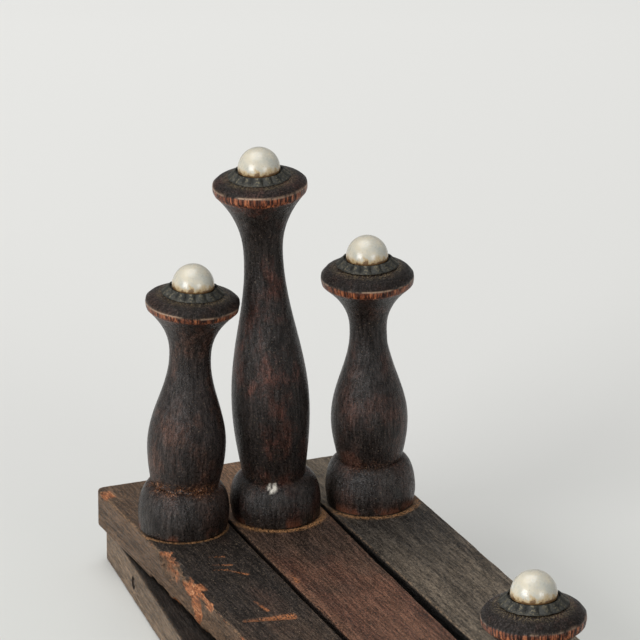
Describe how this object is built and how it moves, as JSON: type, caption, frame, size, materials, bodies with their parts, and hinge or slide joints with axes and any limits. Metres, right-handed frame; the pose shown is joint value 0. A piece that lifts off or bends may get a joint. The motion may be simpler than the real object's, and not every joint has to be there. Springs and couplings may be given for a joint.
{
  "type": "expanding peg rack",
  "caption": "Accordion wall rack of crossing flat wooden slats that slide open like a lattice, with turned wooden pegs capped by porcelain tips at the crossings, shown folded closed.",
  "frame": {"origin": "centre of the closed rack's footprint, on the plane of its back faces", "axes": "+Z out of the wall along the pegs, +X along the rows of pegs, the way the rack grows as it opens, +Y along the slats towards the upper row"},
  "size_m": [0.1048, 0.4983, 0.1196],
  "materials": {
    "slat_wood": "old dark stain, worn matt, orange bare wood where it is chipped",
    "peg_wood": "old dark stain under worn shellac, orange bare wood at the rims",
    "collar_metal": "blackened, greenish",
    "porcelain": "glossy glaze with brown stains at the foot",
    "iron": "dull, lightly rusted"
  },
  "bodies": {
    "front_slat_1": {"front_slat_1": "slat_wood"},
    "front_slat_2": {"front_slat_2": "slat_wood"},
    "front_slat_3": {"front_slat_3": "slat_wood"},
    "front_slat_4": {"front_slat_4": "slat_wood"},
    "back_slat_1": {"back_slat_1": "slat_wood", "peg_upper_1": "peg_wood", "collar_upper_1": "collar_metal", "tip_upper_1": "porcelain", "stud_upper_1": "iron", "brad_upper_1": "iron", "peg_middle_1": "peg_wood", "collar_middle_1": "collar_metal", "tip_middle_1": "porcelain", "stud_middle_1": "iron", "brad_middle_1": "iron"},
    "back_slat_2": {"back_slat_2": "slat_wood", "peg_upper_2": "peg_wood", "collar_upper_2": "collar_metal", "tip_upper_2": "porcelain", "stud_upper_2": "iron", "brad_upper_2": "iron", "peg_middle_2": "peg_wood", "collar_middle_2": "collar_metal", "tip_middle_2": "porcelain", "stud_middle_2": "iron", "brad_middle_2": "iron", "peg_lower_1": "peg_wood", "collar_lower_1": "collar_metal", "tip_lower_1": "porcelain", "stud_lower_1": "iron", "brad_lower_1": "iron"},
    "back_slat_3": {"back_slat_3": "slat_wood", "peg_upper_3": "peg_wood", "collar_upper_3": "collar_metal", "tip_upper_3": "porcelain", "stud_upper_3": "iron", "brad_upper_3": "iron", "peg_middle_3": "peg_wood", "collar_middle_3": "collar_metal", "tip_middle_3": "porcelain", "stud_middle_3": "iron", "brad_middle_3": "iron", "peg_lower_2": "peg_wood", "collar_lower_2": "collar_metal", "tip_lower_2": "porcelain", "stud_lower_2": "iron", "brad_lower_2": "iron"},
    "back_slat_4": {"back_slat_4": "slat_wood", "peg_middle_4": "peg_wood", "collar_middle_4": "collar_metal", "tip_middle_4": "porcelain", "stud_middle_4": "iron", "brad_middle_4": "iron", "peg_lower_3": "peg_wood", "collar_lower_3": "collar_metal", "tip_lower_3": "porcelain", "stud_lower_3": "iron", "brad_lower_3": "iron"}
  },
  "joints": [
    {"name": "rack_open", "type": "hinge", "parent": "back_slat_2", "child": "front_slat_2", "pos_m": [-0.01272, 0, 0.0103], "axis": [0, 0, 1], "range_deg": [0, 160]},
    {"name": "turn_upper_2", "type": "hinge", "parent": "back_slat_2", "child": "front_slat_3", "pos_m": [0, 0.21262, 0.0103], "axis": [0, 0, 1], "range_deg": [0, 160]},
    {"name": "turn_lower_1", "type": "hinge", "parent": "back_slat_2", "child": "front_slat_1", "pos_m": [-0.02544, -0.21262, 0.0103], "axis": [0, 0, 1], "range_deg": [0, 160]},
    {"name": "turn_upper_1", "type": "hinge", "parent": "front_slat_2", "child": "back_slat_1", "pos_m": [-0.02544, 0.21262, 0.0103], "axis": [0, 0, 1], "range_deg": [-160, 0]},
    {"name": "turn_lower_2", "type": "hinge", "parent": "front_slat_2", "child": "back_slat_3", "pos_m": [0, -0.21262, 0.0103], "axis": [0, 0, 1], "range_deg": [-160, 0]},
    {"name": "turn_upper_3", "type": "hinge", "parent": "back_slat_3", "child": "front_slat_4", "pos_m": [0.02544, 0.21262, 0.0103], "axis": [0, 0, 1], "range_deg": [0, 160]},
    {"name": "turn_lower_3", "type": "hinge", "parent": "front_slat_3", "child": "back_slat_4", "pos_m": [0.02544, -0.21262, 0.0103], "axis": [0, 0, 1], "range_deg": [-160, 0]}
  ],
  "couplings": [
    {"joint": "turn_upper_2", "follows": "rack_open", "ratio": 1},
    {"joint": "turn_lower_1", "follows": "rack_open", "ratio": 1},
    {"joint": "turn_upper_1", "follows": "rack_open", "ratio": -1},
    {"joint": "turn_lower_2", "follows": "rack_open", "ratio": -1},
    {"joint": "turn_upper_3", "follows": "rack_open", "ratio": 1},
    {"joint": "turn_lower_3", "follows": "rack_open", "ratio": -1}
  ]
}
